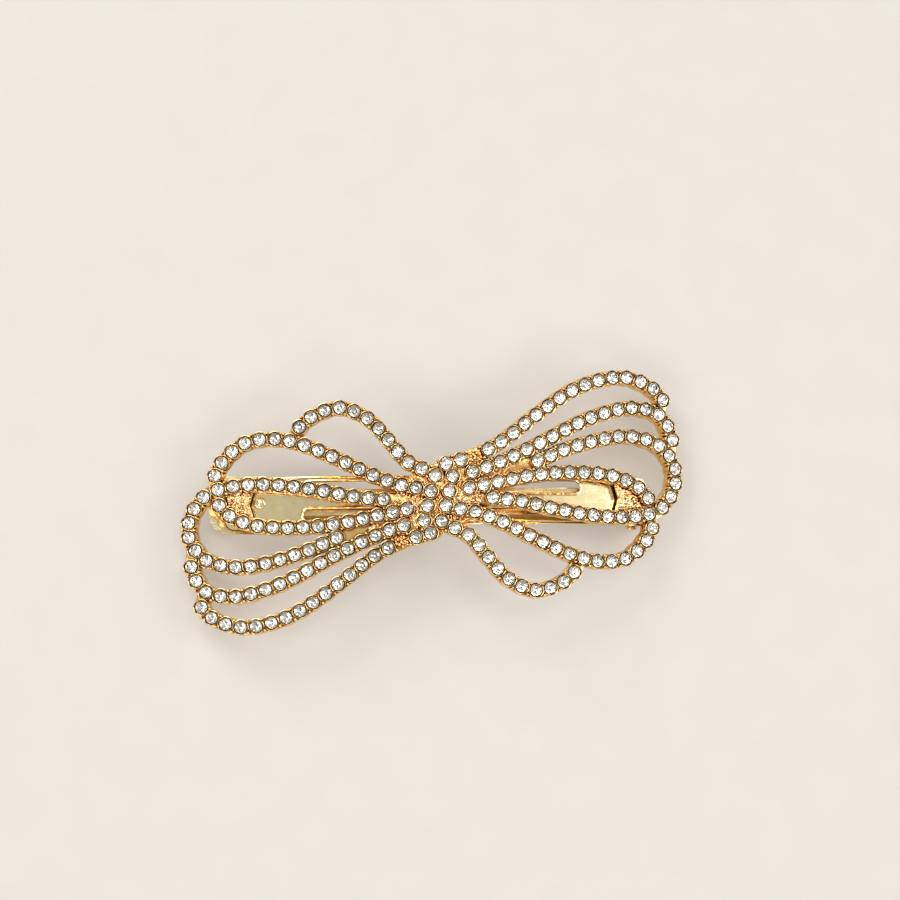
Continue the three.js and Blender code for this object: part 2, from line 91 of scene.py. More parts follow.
# One half of the bow: each strand's first to last stone, where its metal starts and
# ends, how many seats it has, and a seat that has no stone.
STRANDS = {
    "outer_loop": dict(
        seats=18, empty=2, lead=(0.6, 6), tail=(42.3, 17.2),
        row=[(1.4, 6.4), (6.6, 8), (11.5, 10.6), (18, 15.7), (24.8, 20.5), (30, 22.7), (35.5, 23.5),
             (40.6, 21.8), (42.6, 19.7)],
    ),
    "second_loop": dict(
        seats=17, empty=None, lead=(2.6, 4.1), tail=(44.4, 9.6),
        row=[(6.3, 5), (11.6, 7), (19, 10.7), (26.4, 14.7), (31.6, 16.8), (37, 17.9), (42.2, 16.7),
             (44.5, 12.3)],
    ),
    "third_loop": dict(
        seats=15, empty=None, lead=(9, 4.8), tail=(40.2, -2),
        row=[(18.4, 7.3), (23.4, 9.5), (31.3, 11.9), (36.6, 12.5), (42, 11), (44.8, 7.5), (44.8, 3.2),
             (42.4, -0.5)],
    ),
    "leaf_upper": dict(
        seats=14, empty=None, lead=(2, 1.4), tail=(40.2, -1.4),
        row=[(5.7, 2), (11.2, 3.3), (19.4, 4.9), (27.5, 5.4), (33, 4.9), (37.2, 3.4), (39.6, 1.1)],
    ),
    "leaf_lower": dict(
        seats=12, empty=None, lead=(6, 0.8), tail=(40.4, -1.6),
        row=[(10, 0.3), (15.8, -0.3), (21.3, -1.4), (29.4, -2.5), (34.9, -2.6), (39.8, -1.8)],
    ),
    "lower_loop": dict(
        seats=17, empty=None, lead=(0.4, -0.8), tail=(40.3, -2.4),
        row=[(1.4, -1.3), (7.2, -2.5), (12.5, -4.4), (17.5, -6.8), (24.8, -9.9), (30, -11), (35.3, -10.2),
             (39.2, -6.8), (40.4, -4.4)],
    ),
    "small_loop": dict(
        seats=12, empty=None, lead=(0.2, -2.5), tail=(26.6, -10.6),
        row=[(0.6, -4.2), (5.6, -6.7), (9.2, -10.7), (12.8, -14.5), (18, -16.6), (23, -15), (25.2, -13.1)],
    ),
}
KNOT_STONES = [(2.6, 4.1), (2, 1.4), (-2, -1.4), (-2.6, -4.1)]
KNOT_WEB_HALF = [(1.4, 7.4), (7, 8.9), (9.5, 7.4), (14, 7), (12.5, 5.2), (10, 3), (8, 0), (7, -2.6),
                 (3.5, -5.2)]
KNOT_WEB = KNOT_WEB_HALF + [(-x, -y) for x, y in KNOT_WEB_HALF]
TIP_WEB = [(33.4, 4.8), (36.8, 3.8), (39.8, 2.2), (41.5, -0.4), (41.6, -3.4), (39.2, -3.6), (36.8, -3),
           (33.4, -3), (34.6, 1)]
HALVES = {"right": 1, "left": -1}


# ---------- curves ----------

class SmoothPath:
    """A centripetal Catmull-Rom curve through points in plan, by length."""

    SAMPLES = 24

    def __init__(self, points):
        knots = [Vector(p).to_2d() for p in points]
        first = knots[0] * 2 - knots[1]
        last = knots[-1] * 2 - knots[-2]
        knots = [first, *knots, last]
        self.points = []
        for i in range(1, len(knots) - 2):
            steps = self.SAMPLES + (1 if i == len(knots) - 3 else 0)
            for j in range(steps):
                self.points.append(self._between(knots[i - 1:i + 3], j / self.SAMPLES))
        self.lengths = [0.0]
        for a, b in zip(self.points, self.points[1:]):
            self.lengths.append(self.lengths[-1] + (b - a).length)
        self.length = self.lengths[-1]

    @staticmethod
    def _between(p, t):
        d0, d1, d2 = ((b - a).length ** 0.5 for a, b in zip(p, p[1:]))
        t1 = (p[1] - p[0]) / d0 - (p[2] - p[0]) / (d0 + d1) + (p[2] - p[1]) / d1
        t2 = (p[2] - p[1]) / d1 - (p[3] - p[1]) / (d1 + d2) + (p[3] - p[2]) / d2
        m1, m2 = t1 * d1, t2 * d1
        square, cube = t * t, t * t * t
        return (p[1] * (2 * cube - 3 * square + 1) + m1 * (cube - 2 * square + t)
                + p[2] * (3 * square - 2 * cube) + m2 * (cube - square))

    def at(self, distance):
        """(place, direction) at that distance along the curve, straight on past its ends."""
        clamped = min(max(distance, 0.0), self.length)
        low, high = 0, len(self.lengths) - 2
        while low < high:
            middle = (low + high + 1) // 2
            if self.lengths[middle] <= clamped:
                low = middle
            else:
                high = middle - 1
        span = self.lengths[low + 1] - self.lengths[low]
        share = (clamped - self.lengths[low]) / span
        place = self.points[low].lerp(self.points[low + 1], share)
        direction = (self.points[low + 1] - self.points[low]).normalized()
        return place + direction * (distance - clamped), direction

    def nearest_distance(self, place):
        best = min(range(len(self.points)), key=lambda i: (self.points[i] - place).length_squared)
        return self.lengths[best]


def on_bow(point, height, half=1):
    """A plan place on one half of the bow, bent onto the arch, in metres."""
    x = half * (point[0] * math.cos(BOW_TURN) - point[1] * math.sin(BOW_TURN))
    y = half * (point[0] * math.sin(BOW_TURN) + point[1] * math.cos(BOW_TURN))
    sine = x / ARCH_SCALE
    reach = ARCH_RADIUS + height
    drop = ARCH_RADIUS - reach * math.sqrt(1 - sine * sine)
    return Vector((reach * sine, y, PLATE_TOP - drop)) * MM


def up_at(point, half=1):
    """The arch's outward direction at a plan place."""
    return (on_bow(point, 1, half) - on_bow(point, 0, half)).normalized()


# ---------- mesh helpers ----------

def new_piece(name, bm, materials, body="base", smooth_angle=40):
    """A mesh object from a bmesh, riding on a body and smooth below the angle."""
    bmesh.ops.recalc_face_normals(bm, faces=bm.faces)
    mesh = bpy.data.meshes.new(name)
    bm.to_mesh(mesh)
    bm.free()
    for material in materials:
        mesh.materials.append(material)
    piece = bpy.data.objects.new(name, mesh)
    bpy.context.collection.objects.link(piece)
    shade_by_angle(mesh, smooth_angle)
    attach(piece, body)
    return piece


def shade_by_angle(mesh, degrees):
    """Smooth shading with edges sharper than the angle kept sharp."""
    bm = bmesh.new()
    bm.from_mesh(mesh)
    limit = math.radians(degrees)
    for face in bm.faces:
        face.smooth = True
    for edge in bm.edges:
        edge.smooth = len(edge.link_faces) == 2 and edge.calc_face_angle(0) < limit
    bm.to_mesh(mesh)
    bm.free()


def loft(bm, sections, closed_ends=True, wrap=True):
    """Faces between rings of points; each ring is a list of places."""
    rings = [[bm.verts.new(p) for p in section] for section in sections]
    count = len(rings[0])
    for ring, following in zip(rings, rings[1:]):
        for i in range(count if wrap else count - 1):
            j = (i + 1) % count
            bm.faces.new((ring[i], ring[j], following[j], following[i]))
    if closed_ends:
        bm.faces.new(rings[0])
        bm.faces.new(rings[-1])
    return rings


def sphere_at(bm, centre, radius, up):
    """A small ball; one of its axes lies along the given direction."""
    turn = up.to_track_quat("Z", "Y").to_matrix().to_4x4()
    place = Matrix.Translation(centre) @ turn @ Matrix.Scale(radius, 4)
    bmesh.ops.create_icosphere(bm, subdivisions=2, radius=1, matrix=place)


# ---------- procedural materials ----------

class Shader:
    """A Principled material with the few nodes that the looks share."""

    def __init__(self, name):
        self.material = bpy.data.materials.new(name)
        self.material.use_nodes = True
        self.tree = self.material.node_tree
        self.bsdf = next(n for n in self.tree.nodes if n.type == "BSDF_PRINCIPLED")
        self.coords = self.tree.nodes.new("ShaderNodeTexCoord").outputs["Object"]

    def set(self, **values):
        for socket, value in values.items():
            self.bsdf.inputs[socket.replace("_", " ")].default_value = value
        return self

    def noise(self, scale, detail=4, roughness=0.5):
        node = self.tree.nodes.new("ShaderNodeTexNoise")
        node.inputs["Scale"].default_value = scale
        node.inputs["Detail"].default_value = detail
        node.inputs["Roughness"].default_value = roughness
        self.tree.links.new(self.coords, node.inputs["Vector"])
        return node.outputs["Fac"]

    def streaks(self, along, across):
        """Noise drawn out along X, as rolling and polishing leave it."""
        stretch = self.tree.nodes.new("ShaderNodeMapping")
        stretch.inputs["Scale"].default_value = (along, across, across)
        self.tree.links.new(self.coords, stretch.inputs["Vector"])
        node = self.tree.nodes.new("ShaderNodeTexNoise")
        node.inputs["Scale"].default_value = 1
        node.inputs["Detail"].default_value = 5
        self.tree.links.new(stretch.outputs["Vector"], node.inputs["Vector"])
        return node.outputs["Fac"]

    def cells(self, scale):
        node = self.tree.nodes.new("ShaderNodeTexVoronoi")
        node.inputs["Scale"].default_value = scale
        self.tree.links.new(self.coords, node.inputs["Vector"])
        return node.outputs["Distance"]

    def openness(self, distance):
        """How open a spot is to the light round about: low in grooves and under things, within the distance;
        it drives painted shade.
        """
        node = self.tree.nodes.new("ShaderNodeAmbientOcclusion")
        node.samples = 8
        node.inputs["Distance"].default_value = distance
        return node.outputs["AO"]

    def mixed(self, share, low, high):
        """Colour `low` where the share is 0 and `high` where it is 1."""
        node = self.tree.nodes.new("ShaderNodeMix")
        node.data_type = "RGBA"
        self.tree.links.new(share, node.inputs["Factor"])
        for socket, colour in (("A", low), ("B", high)):
            target = next(s for s in node.inputs if s.name == socket and s.type == "RGBA")
            if isinstance(colour, tuple):
                target.default_value = colour
            else:
                self.tree.links.new(colour, target)
        return next(s for s in node.outputs if s.type == "RGBA")

    def ramp(self, source, low, high, at_low=0.3, at_high=0.7):
        """Maps a grey source onto a range of greys or colours."""
        node = self.tree.nodes.new("ShaderNodeValToRGB")
        self.tree.links.new(source, node.inputs["Fac"])
        for stop, position, value in zip(node.color_ramp.elements, (at_low, at_high), (low, high)):
            stop.position = position
            stop.color = value if isinstance(value, tuple) else (value, value, value, 1)
        return node.outputs["Color"]

    def feed(self, source, socket):
        self.tree.links.new(source, self.bsdf.inputs[socket])
        return self

    def bump(self, source, strength, distance):
        node = self.tree.nodes.new("ShaderNodeBump")
        node.inputs["Strength"].default_value = strength
        node.inputs["Distance"].default_value = distance
        self.tree.links.new(source, node.inputs["Height"])
        previous = self.bsdf.inputs["Normal"].links
        if previous:
            self.tree.links.new(previous[0].from_socket, node.inputs["Normal"])
        self.tree.links.new(node.outputs["Normal"], self.bsdf.inputs["Normal"])
        return self


def gilded(name, dark, light, groove_shade, grooves):
    """Gold plating: two close tones in patches, and painted shade in a dark brown that darkens grooves and
    spots under things.
    """
    look = Shader(name).set(Metallic=1.0)
    patches = look.ramp(look.noise(450), dark, light)
    # painted shade: the dark groove_shade colour takes over where a spot is shut in, in grooves and under
    # parts
    unshaded = look.ramp(look.openness(grooves), 0.0, 1.0, 0.36, 0.90)
    look.feed(look.mixed(unshaded, groove_shade, patches), "Base Color")
    return look


def cast_gold():
    """The bow's plated casting: bright, with small waves left by polishing and a few duller spots."""
    look = gilded("cast_gold", (0.86, 0.47, 0.13, 1), (0.98, 0.71, 0.30, 1), (0.20, 0.035, 0.002, 1), 0.0006)
    look.feed(look.ramp(look.noise(900), 0.09, 0.24), "Roughness")
    look.bump(look.noise(1600, 2), 0.45, 0.00006)
    return look.material


def nugget_gold():
    """The granulated metal of the webs."""
    look = gilded("nugget_gold", (0.91, 0.63, 0.27, 1), (1.0, 0.83, 0.50, 1), (0.36, 0.09, 0.008, 1), 0.0006)
    look.feed(look.ramp(look.noise(1500), 0.10, 0.30), "Roughness")
    look.bump(look.cells(2600), 0.4, 0.0001)
    return look.material


def sheet_gold():
    """Polished plated sheet: mirror-like, with faint rolling streaks and fine handling marks."""
    look = gilded("sheet_gold", (0.93, 0.76, 0.43, 1), (0.97, 0.83, 0.52, 1), (0.55, 0.20, 0.02, 1), 0.001)
    look.feed(look.ramp(look.streaks(120, 2600), 0.06, 0.22), "Roughness")
    look.bump(look.noise(140, 2), 0.12, 0.0001)
    look.bump(look.streaks(90, 3200), 0.10, 0.00002)
    return look.material


def spring_gold():
    """Gold-washed spring steel, a little greyer and duller than the plate."""
    look = gilded("spring_gold", (0.76, 0.54, 0.25, 1), (0.87, 0.68, 0.38, 1), (0.34, 0.14, 0.02, 1), 0.0008)
    look.feed(look.ramp(look.streaks(200, 1800), 0.12, 0.30), "Roughness")
    look.bump(look.noise(500, 3), 0.10, 0.00005)
    return look.material


def solder_metal():
    """Solder that has flowed and dulled."""
    look = gilded("solder", (0.46, 0.36, 0.22, 1), (0.66, 0.55, 0.38, 1), (0.20, 0.14, 0.08, 1), 0.0006)
    look.feed(look.ramp(look.noise(900), 0.35, 0.6), "Roughness")
    look.bump(look.noise(1200), 0.4, 0.0001)
    return look.material


def seat_gap_shade():
    """A near-black fill on the inside of each cup: painted shade for the shadowed gap round each stone."""
    look = Shader("seat_gap_shade").set(IOR=1.45)
    look.feed(look.ramp(look.noise(1200), (0.015, 0.007, 0.004, 1), (0.06, 0.028, 0.012, 1)), "Base Color")
    look.feed(look.ramp(look.noise(800), 0.25, 0.5), "Roughness")
    look.bump(look.noise(2000), 0.3, 0.00004)
    return look.material


def clear_glass():
    """The stones' glass, with the faintest variation in its polish."""
    look = Shader("rhinestone_glass").set(IOR=1.56, Base_Color=(1.0, 0.995, 0.985, 1))
    look.bsdf.inputs["Transmission Weight"].default_value = 1.0
    look.feed(look.ramp(look.noise(1500), 0.0, 0.03), "Roughness")
    return look.material


def foil():
    """The silver foil behind each stone; it has dulled by a different amount on each."""
    look = Shader("rhinestone_foil").set(Metallic=1.0)
    look.feed(look.ramp(look.noise(420, 1), (0.82, 0.80, 0.76, 1), (1.0, 0.985, 0.95, 1)), "Base Color")
    look.feed(look.ramp(look.noise(900), 0.03, 0.12), "Roughness")
    return look.material


CAST = cast_gold()
NUGGET = nugget_gold()
SHEET = sheet_gold()
SPRING = spring_gold()
SOLDER = solder_metal()
SEAT_GAP_SHADE = seat_gap_shade()
GLASS = clear_glass()
FOIL = foil()


# ---------- the casting ----------

STEPS_PER_SEAT = 10
SCALLOP = 0.07
END_STEPS = (0.38, 0.7, 0.92, 1)
END_MARGIN = 0.02
CUP_SEGMENTS = 20
CUP_OUTER = 1.43
CUP_LIP = 1.40
CUP_INNER = 1.30
CUP_TOP = GIRDLE_LEVEL + 0.02
POST_RADIUS = 0.27
POST_INSET = 0.38
POST_TOP = GIRDLE_LEVEL + 0.26


def seat_distances(strand, path):
    """How far along the metal's path each seat of a strand lies."""
    start = path.nearest_distance(Vector(strand["row"][0]))
    end = path.nearest_distance(Vector(strand["row"][-1]))
    pitch = (end - start) / (strand["seats"] - 1)
    return [start + i * pitch for i in range(strand["seats"])]


def metal_path(strand):
    """The middle line of a strand's metal, from its lead past its stones to its tail."""
    return SmoothPath([strand["lead"], *strand["row"], strand["tail"]])


def bar_section(place, direction, half_width, half):
    """A strand's cross-section: a flat underside, straight walls and a softly rounded top."""
    across = Vector((direction.y, -direction.x))
    outline = [(-0.90, 0), (0.90, 0), (1.0, 0.16), (1.0, 0.80), (0.93, 0.96), (0.78, 1.0),
               (-0.78, 1.0), (-0.93, 0.96), (-1.0, 0.80), (-1.0, 0.16)]
    points = []
    for out, rise in outline:
        spot = place + across * (out * half_width)
        points.append(on_bow(spot, UNDERSIDE + rise * STRAND_THICKNESS, half))
    return points


def scalloped_half_width(distance, seats):
    """The strand is widest at each seat and pinched between two seats."""
    nearest = min(abs(distance - seat) for seat in seats)
    pitch = seats[1] - seats[0]
    swell = math.cos(min(nearest / pitch, 0.5) * 2 * math.pi)
    return STRAND_WIDTH / 2 - SCALLOP + SCALLOP * swell


def add_bar(bm, strand, half):
    """A strand's bar along its path, scalloped at its seats and round at both ends."""
    path = metal_path(strand)
    seats = seat_distances(strand, path)
    pitch = seats[1] - seats[0]
    steps = math.ceil(path.length / pitch * STEPS_PER_SEAT)
    reach = STRAND_WIDTH / 2
    stations = [(-reach * k, reach * math.sqrt(1 - k * k) + END_MARGIN) for k in reversed(END_STEPS)]
    for i in range(steps + 1):
        distance = path.length * i / steps
        stations.append((distance, scalloped_half_width(distance, seats)))
    stations += [(path.length + reach * k, reach * math.sqrt(1 - k * k) + END_MARGIN) for k in END_STEPS]
    loft(bm, [bar_section(*path.at(distance), half_width, half) for distance, half_width in stations])


def add_cup(bm, place, half):
    """A thin upright collar round a seat, with a rounded lip and painted shade, a near-black fill, on its
    inside.
    """
    profile = [(CUP_OUTER, SEAT - 0.12), (CUP_OUTER, CUP_TOP - 0.12), (CUP_LIP + 0.02, CUP_TOP - 0.02),
               (CUP_LIP - 0.03, CUP_TOP), (CUP_INNER, CUP_TOP - 0.04), (CUP_INNER - 0.04, SEAT + 0.1),
               (0.9, SEAT + 0.05), (0.9, SEAT - 0.12)]
    sections = []
    for i in range(CUP_SEGMENTS + 1):
        angle = 2 * math.pi * i / CUP_SEGMENTS
        outward = Vector((math.cos(angle), math.sin(angle)))
        sections.append([on_bow(place + outward * radius, height, half) for radius, height in profile])
    first_face = len(bm.faces)
    rings = loft(bm, sections[:-1], closed_ends=False)
    count = len(profile)
    for i in range(count):
        j = (i + 1) % count
        bm.faces.new((rings[-1][i], rings[-1][j], rings[0][j], rings[0][i]))
    bm.faces.ensure_lookup_table()
    # painted shade: the cup's inner wall and floor take the near-black gap material
    for k in range(first_face, len(bm.faces)):
        if (k - first_face) % count in (4, 5):
            bm.faces[k].material_index = 1


def add_post(bm, place, radius, half):
    """A small upright post with a domed top, which holds the stones next to it."""
    profile = [(1.35, SEAT - 0.1), (1.1, SEAT + 0.25), (0.86, POST_TOP - 0.45), (1.0, POST_TOP - 0.24),
               (0.82, POST_TOP - 0.08), (0.38, POST_TOP)]
    sections = []
    for width, height in profile:
        ring = []
        for i in range(10):
            angle = 2 * math.pi * i / 10
            spot = place + Vector((math.cos(angle), math.sin(angle))) * (width * radius)
            ring.append(on_bow(spot, height, half))
        sections.append(ring)
    loft(bm, sections)


def add_posts(bm, path, distance, half):
    """Two posts, one on each edge of the strand, between two seats."""
    place, direction = path.at(distance)
    across = Vector((direction.y, -direction.x))
    for side in (-1, 1):
        spot = place + across * side * (STRAND_WIDTH / 2 - POST_INSET)
        add_post(bm, spot, POST_RADIUS * random.uniform(0.9, 1.1), half)


def add_nuggets(bm, place, half):
    """A heap of small lumps where a seat has no stone."""
    for i in range(9):
        angle = 2.4 * i
        spot = place + Vector((math.cos(angle), math.sin(angle))) * (0.36 * math.sqrt(i))
        height = SEAT + random.uniform(0.05, 0.25)
        sphere_at(bm, on_bow(spot, height, half), random.uniform(0.28, 0.42) * MM, up_at(spot, half))


def build_strand_metal(name, strand, side):
    """One strand's bar with its cups and posts, on one half of the bow."""
    half = HALVES[side]
    path = metal_path(strand)
    seats = seat_distances(strand, path)
    bm = bmesh.new()
    add_bar(bm, strand, half)
    for i, distance in enumerate(seats):
        if i == strand["empty"]:
            add_nuggets(bm, path.at(distance)[0], half)
        else:
            add_cup(bm, path.at(distance)[0], half)
    for a, b in zip(seats, seats[1:]):
        add_posts(bm, path, (a + b) / 2, half)
    piece = new_piece(f"casting_{name}_{side}", bm, [CAST, SEAT_GAP_SHADE])
    return piece


def inside(outline, x, y):
    """Whether a plan place lies inside an outline."""
    hit = False
    for (x0, y0), (x1, y1) in zip(outline, outline[1:] + outline[:1]):
        if (y0 > y) != (y1 > y) and x < (x1 - x0) * (y - y0) / (y1 - y0) + x0:
            hit = not hit
    return hit


def nearest_on(outline, point):
    """The nearest place to a point on an outline's edges."""
    best = None
    for a, b in zip(outline, outline[1:] + outline[:1]):
        a, b = Vector(a), Vector(b)
        share = min(max((point - a).dot(b - a) / (b - a).length_squared, 0), 1)
        spot = a.lerp(b, share)
        if best is None or (spot - point).length < (best - point).length:
            best = spot
    return best


WEB_CELL = 0.17
WEB_TOP = SEAT - 0.05
LUMPS_PER_MM = 1.35
LUMP_HEIGHT = 0.30
LUMP_ROUNDNESS = 0.7


def build_web(name, outline, half):
    """Granulated metal that fills an outline: a grid of cells with lumps on its top."""
    bm = bmesh.new()
    xs = [p[0] for p in outline]
    ys = [p[1] for p in outline]
    columns = math.ceil((max(xs) - min(xs)) / WEB_CELL)
    rows = math.ceil((max(ys) - min(ys)) / WEB_CELL)
    top, bottom = {}, {}

    def corner(layer, i, j, height):
        if (i, j) not in layer:
            point = Vector((min(xs) + i * WEB_CELL, min(ys) + j * WEB_CELL))
            around = {(i, j), (i - 1, j), (i, j - 1), (i - 1, j - 1)}
            if not around <= filled:
                point = nearest_on(outline, point)
            layer[i, j] = bm.verts.new(on_bow(point, height(point), half))
        return layer[i, j]

    def lumpy(point):
        reach = noise.voronoi(Vector((point[0], point[1], 3.0)) * LUMPS_PER_MM)[0][0]
        return WEB_TOP + LUMP_HEIGHT - LUMP_ROUNDNESS * reach * reach

    def flat(point):
        return UNDERSIDE

    filled = set()
    for i in range(columns):
        for j in range(rows):
            if inside(outline, min(xs) + (i + 0.5) * WEB_CELL, min(ys) + (j + 0.5) * WEB_CELL):
                filled.add((i, j))
    for i, j in sorted(filled):
        square = [(i, j), (i + 1, j), (i + 1, j + 1), (i, j + 1)]
        bm.faces.new([corner(top, a, b, lumpy) for a, b in square])
        bm.faces.new([corner(bottom, a, b, flat) for a, b in reversed(square)])
        neighbours = [(i, j - 1), (i + 1, j), (i, j + 1), (i - 1, j)]
        for k, neighbour in enumerate(neighbours):
            if neighbour not in filled:
                a, b = square[k], square[(k + 1) % 4]
                bm.faces.new((bottom[a], bottom[b], top[b], top[a]))
    piece = new_piece(name, bm, [NUGGET], smooth_angle=80)
    return piece


def stone_places():
    """Every stone's place in plan on the right half, and the knot's four."""
    places = [Vector(p) for p in KNOT_STONES]
    for strand in STRANDS.values():
        path = metal_path(strand)
        distances = seat_distances(strand, path)
        places += [path.at(d)[0] for i, d in enumerate(distances) if i != strand["empty"]]
    return places


def build_granules(name, outline, half, count):
    """Small grains of metal strewn over a web, clear of the stones' cups."""
    taken = [(place, CUP_OUTER) for place in stone_places()]
    taken += [(-place, CUP_OUTER) for place, _ in taken if outline is KNOT_WEB]
    xs = [p[0] for p in outline]
    ys = [p[1] for p in outline]
    bm = bmesh.new()
    for _ in range(count):
        spot = Vector((random.uniform(min(xs), max(xs)), random.uniform(min(ys), max(ys))))
        radius = random.uniform(0.20, 0.34)
        if not inside(outline, *spot):
            continue
        if any((spot - place).length < clear + 0.75 * radius for place, clear in taken):
            continue
        taken.append((spot, 0.6 * radius))
        sphere_at(bm, on_bow(spot, SEAT + random.uniform(-0.05, 0.12), half), radius * MM, up_at(spot, half))
    piece = new_piece(name, bm, [NUGGET], smooth_angle=80)
    return piece


def build_casting():
    """The bow's metal: the strands, the webs between them and the knot's cups."""
    pieces = []
    for name, strand in STRANDS.items():
        for side in HALVES:
            pieces.append(build_strand_metal(name, strand, side))
    pieces.append(build_web("casting_knot_web", KNOT_WEB, 1))
    pieces.append(build_granules("casting_knot_granules", KNOT_WEB, 1, 2600))
    for side, half in HALVES.items():
        pieces.append(build_web(f"casting_tip_web_{side}", TIP_WEB, half))
        pieces.append(build_granules(f"casting_tip_granules_{side}", TIP_WEB, half, 700))
    bm = bmesh.new()
    for place in KNOT_STONES:
        add_cup(bm, Vector(place), 1)
    cups = new_piece("casting_knot_cups", bm, [CAST, SEAT_GAP_SHADE])
    pieces.append(cups)
    for piece in pieces:
        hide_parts("bow_frame")


# ---------- rhinestones ----------

def add_stone(bm, place, half):
    """One round stone with sixteen-fold facets: glass above the girdle, foil behind it."""
    spin = random.uniform(0, math.pi / 4)
    tilt = Vector((random.gauss(0, 0.035), random.gauss(0, 0.035), 0))
    centre = on_bow(place, GIRDLE_LEVEL, half)
    up = (up_at(place, half) + tilt).normalized()
    turn = up.to_track_quat("Z", "Y").to_matrix().to_4x4()
    frame_of_stone = Matrix.Translation(centre) @ turn @ Matrix.Scale(MM, 4)

    def ring(radius, height, count, offset=0.0):
        points = []
        for i in range(count):
            angle = spin + 2 * math.pi * (i + offset) / count
            spot = Vector((radius * math.cos(angle), radius * math.sin(angle), height))
            points.append(bm.verts.new(frame_of_stone @ spot))
        return points

    table = ring(TABLE_RADIUS, CROWN_HEIGHT, 8)
    star = ring((TABLE_RADIUS + STONE_RADIUS) / 2, 0.56 * CROWN_HEIGHT, 8, 0.5)
    girdle = ring(STONE_RADIUS, GIRDLE_HEIGHT / 2, 16, 0.0)
    lower = ring(STONE_RADIUS, -GIRDLE_HEIGHT / 2, 16, 0.0)
    pavilion = ring(0.45 * STONE_RADIUS, -0.62 * PAVILION_DEPTH, 8, 0.5)
    tip = bm.verts.new(frame_of_stone @ Vector((0, 0, -PAVILION_DEPTH)))

    bm.faces.new(table)
    for i in range(8):
        following = (i + 1) % 8
        bm.faces.new((table[i], star[i], table[following]))
        bm.faces.new((table[i], star[i - 1], girdle[2 * i], star[i]))
        bm.faces.new((star[i], girdle[2 * i], girdle[2 * i + 1]))
        bm.faces.new((star[i], girdle[2 * i + 1], girdle[(2 * i + 2) % 16]))
    for i in range(16):
        bm.faces.new((girdle[i], lower[i], lower[(i + 1) % 16], girdle[(i + 1) % 16]))
    foil_faces = []
    for i in range(8):
        following = (i + 1) % 8
        foil_faces.append(bm.faces.new((lower[2 * i], pavilion[i], lower[2 * i + 1])))
        foil_faces.append(bm.faces.new((lower[2 * i + 1], pavilion[i], lower[(2 * i + 2) % 16])))
        foil_faces.append(bm.faces.new((lower[2 * i], pavilion[i - 1], tip, pavilion[i])))
    for face in foil_faces:
        face.material_index = 1


def build_stone_row(node, places, half):
    """The single stones that stand for one CAD row."""
    bm = bmesh.new()
    for place in places:
        add_stone(bm, place, half)
    piece = new_piece(node.replace("stones", "rhinestones"), bm, [GLASS, FOIL], smooth_angle=1)
    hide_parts(node)


def build_stones():
    """Every row of stones, and the four stones on the knot."""
    for name, strand in STRANDS.items():
        path = metal_path(strand)
        distances = seat_distances(strand, path)
        places = [path.at(d)[0] for i, d in enumerate(distances) if i != strand["empty"]]
        for side, half in HALVES.items():
            build_stone_row(f"stones_{name}_{side}", places, half)
    build_stone_row("stones_knot", [Vector(p) for p in KNOT_STONES], 1)


# ---------- barrette ----------

PLATE_LEFT, PLATE_RIGHT = -38.5, 40
PLATE_TAPER = 0.3
BEAD_LEFT, BEAD_RIGHT = -34.5, 34
BEAD_STEPS = 60
SLOT_LEFT, SLOT_RIGHT = -24.5, 27
SLOT_OFFSET = 2.5
SLOT_WIDTH = 2.3
LEFT_BEND, RIGHT_BEND = -34.6, 32.6
PAD_SLOPE = math.tan(math.radians(17))
RIM_RADIUS = 0.24
RIM_OFFSET = 0.16
RIM_STEPS, RIM_END_STEPS = 40, 12
EDGE_RADIUS = 0.22
EDGE_DROP = 0.04
RIVET_LEAN = math.radians(17)
RIVET_HEAD = 0.36
RIVET_SEGMENTS = 32


def plate_top(x):
    """The height of the base plate's upper side: an arch with straight pads at both ends."""
    on_arch = min(max(x, LEFT_BEND), RIGHT_BEND)
    drop = ARCH_RADIUS - math.sqrt(ARCH_RADIUS ** 2 - on_arch ** 2)
    return PLATE_TOP - drop - abs(x - on_arch) * PAD_SLOPE


def add_tube(bm, places, radius, closed, sides=8):
    """A round bead along places on the plate, given in plan and laid on its upper side."""
    spots = [Vector((x, y, plate_top(x) + lift)) for x, y, lift in places]
    rings = []
    for i, spot in enumerate(spots):
        before = spots[i - 1] if closed or i else spot
        after = spots[(i + 1) % len(spots)] if closed or i < len(spots) - 1 else spot
        along = (after - before).normalized()
        side = along.cross(Vector((0, 0, 1))).normalized()
        up = side.cross(along)
        ring = []
        for k in range(sides):
            angle = 2 * math.pi * k / sides
            ring.append((spot + (side * math.cos(angle) + up * math.sin(angle)) * radius) * MM)
        rings.append(ring)
    if closed:
        verts = loft(bm, rings, closed_ends=False)
        for k in range(sides):
            bm.faces.new((verts[-1][k], verts[-1][(k + 1) % sides], verts[0][(k + 1) % sides], verts[0][k]))
    else:
        loft(bm, rings)


def slot_rim_places(side):
    """Places round one slot, a little outside its edge."""
    reach = SLOT_WIDTH / 2 + RIM_OFFSET
    centre = side * SLOT_OFFSET
    left, right = SLOT_LEFT + SLOT_WIDTH / 2, SLOT_RIGHT - SLOT_WIDTH / 2
    places = []
    for start, end, edge in ((left, right, -reach), (right, left, reach)):
        places += [(start + (end - start) * i / RIM_STEPS, centre + edge, 0) for i in range(RIM_STEPS)]
        first_angle = math.copysign(math.pi / 2, edge)
        for i in range(RIM_END_STEPS):
            angle = first_angle + math.pi * i / RIM_END_STEPS
            places.append((end + reach * math.cos(angle), centre + reach * math.sin(angle), 0))
    return places


